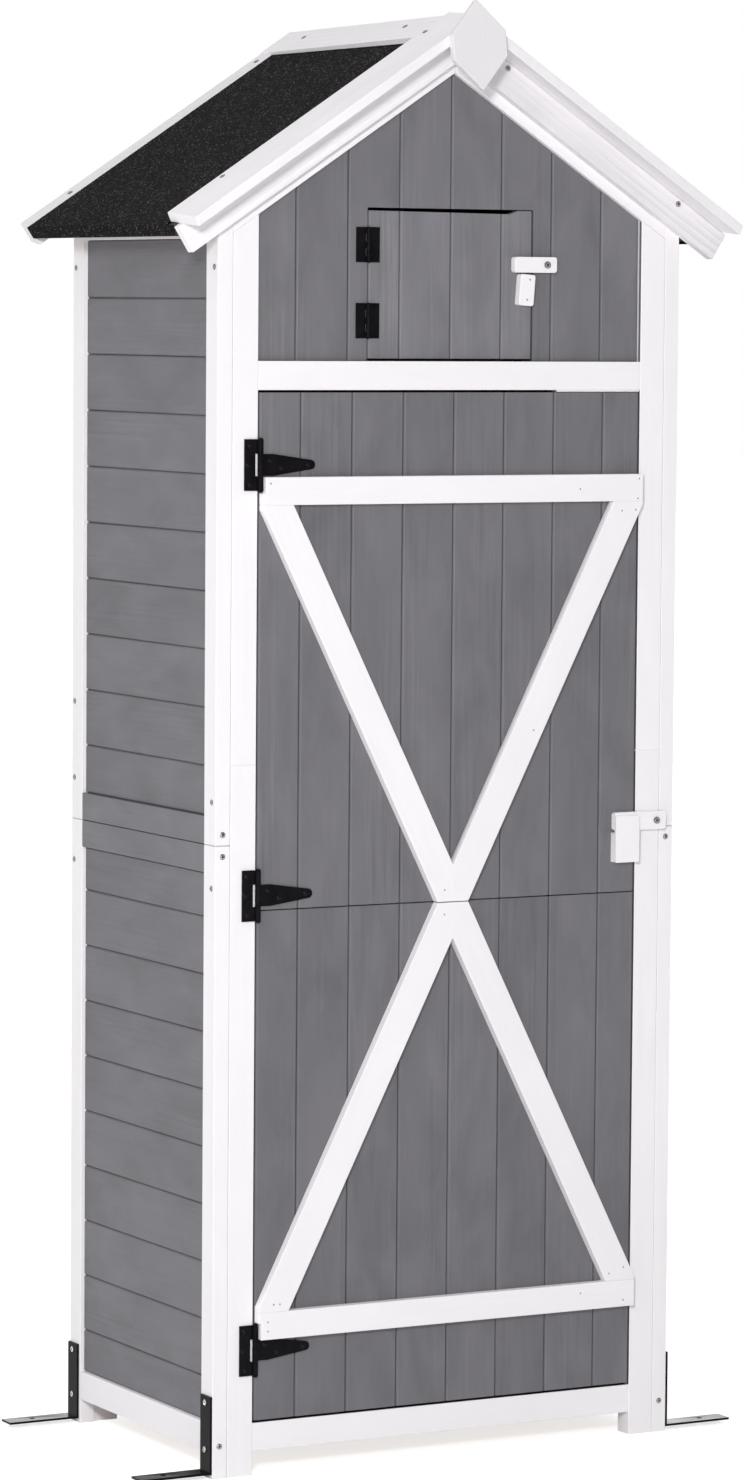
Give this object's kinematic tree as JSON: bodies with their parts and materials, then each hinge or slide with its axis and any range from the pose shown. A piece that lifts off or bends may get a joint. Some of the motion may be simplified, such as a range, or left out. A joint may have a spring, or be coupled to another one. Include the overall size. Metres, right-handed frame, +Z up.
{
  "type": "garden storage cabinet",
  "caption": "Narrow timber garden storage cabinet with a pitched felt roof, braced full-height door, gable hatch, wooden turn bars and steel anchor brackets.",
  "frame": {"origin": "centre of the bounding box at ground level, where the corner posts stand", "axes": "+Z up, -Y towards the front with the door, +X to the right seen from the front"},
  "size_m": [0.882, 0.532, 1.8896],
  "materials": {
    "white_paint": "painted satin",
    "grey_paint": "painted satin",
    "bare_pine": "planed",
    "roof_felt": "mineral grit",
    "black_steel": "satin",
    "zinc_screws": "zinc plated"
  },
  "bodies": {
    "cabinet": {"anchor_brackets": "black_steel", "back_lower_boards": "grey_paint", "back_lower_frame": "white_paint", "back_upper_boards": "grey_paint", "back_upper_frame": "white_paint", "bracket_screws": "zinc_screws", "door_hinge_pins": "black_steel", "door_hinge_plates": "black_steel", "door_stop": "bare_pine", "fascia_board_left": "white_paint", "fascia_board_right": "white_paint", "finial_plate": "white_paint", "floor_boards": "bare_pine", "frame_screws": "zinc_screws", "front_bottom_rail": "white_paint", "front_cross_rail": "white_paint", "front_lower_stiles": "white_paint", "front_rafters": "white_paint", "front_roof_strip_left": "white_paint", "front_roof_strip_right": "white_paint", "front_upper_stiles": "white_paint", "gable_boards": "grey_paint", "gable_shelf": "bare_pine", "hatch_frame": "bare_pine", "hatch_hinge_fixed": "black_steel", "rear_roof_strip_left": "white_paint", "rear_roof_strip_right": "white_paint", "ridge_caps": "white_paint", "roof_deck_left": "bare_pine", "roof_deck_right": "bare_pine", "roof_felt_left": "roof_felt", "roof_felt_right": "roof_felt", "shelf_battens": "bare_pine", "side_lower_boards_left": "grey_paint", "side_lower_boards_right": "grey_paint", "side_lower_posts_left": "white_paint", "side_lower_posts_right": "white_paint", "side_lower_rail_left": "grey_paint", "side_lower_rail_right": "grey_paint", "side_upper_boards_left": "grey_paint", "side_upper_boards_right": "grey_paint", "side_upper_posts_left": "white_paint", "side_upper_posts_right": "white_paint", "side_upper_rail_left": "grey_paint", "side_upper_rail_right": "grey_paint", "turn_bar_screws": "zinc_screws"},
    "main_door": {"door_lower_boards": "grey_paint", "door_upper_boards": "grey_paint", "door_rails": "white_paint", "door_braces": "white_paint", "door_ledges": "bare_pine", "door_handle_block": "white_paint", "door_hinge_straps": "black_steel", "strap_screws": "black_steel"},
    "hatch": {"hatch_boards": "grey_paint", "hatch_ledges": "bare_pine", "hatch_handle": "white_paint", "hatch_hinge_leaves": "black_steel"},
    "door_latch": {"door_turn_bar": "white_paint"},
    "hatch_latch": {"hatch_turn_bar": "white_paint"}
  },
  "joints": [
    {"name": "door_hinge", "type": "hinge", "parent": "cabinet", "child": "main_door", "pos_m": [-0.2805, -0.2, 0.7305], "axis": [0, 0, -1], "range_deg": [0, 110]},
    {"name": "hatch_hinge", "type": "hinge", "parent": "cabinet", "child": "hatch", "pos_m": [-0.1225, -0.1915, 1.53], "axis": [0, 0, -1], "range_deg": [0, 160]},
    {"name": "door_turn", "type": "hinge", "parent": "cabinet", "child": "door_latch", "pos_m": [0.3094, -0.20075, 0.8244], "axis": [0, 1, 0], "range_deg": [0, 180]},
    {"name": "hatch_turn", "type": "hinge", "parent": "cabinet", "child": "hatch_latch", "pos_m": [0.1369, -0.194, 1.5553], "axis": [0, 1, 0], "range_deg": [0, 180]}
  ]
}
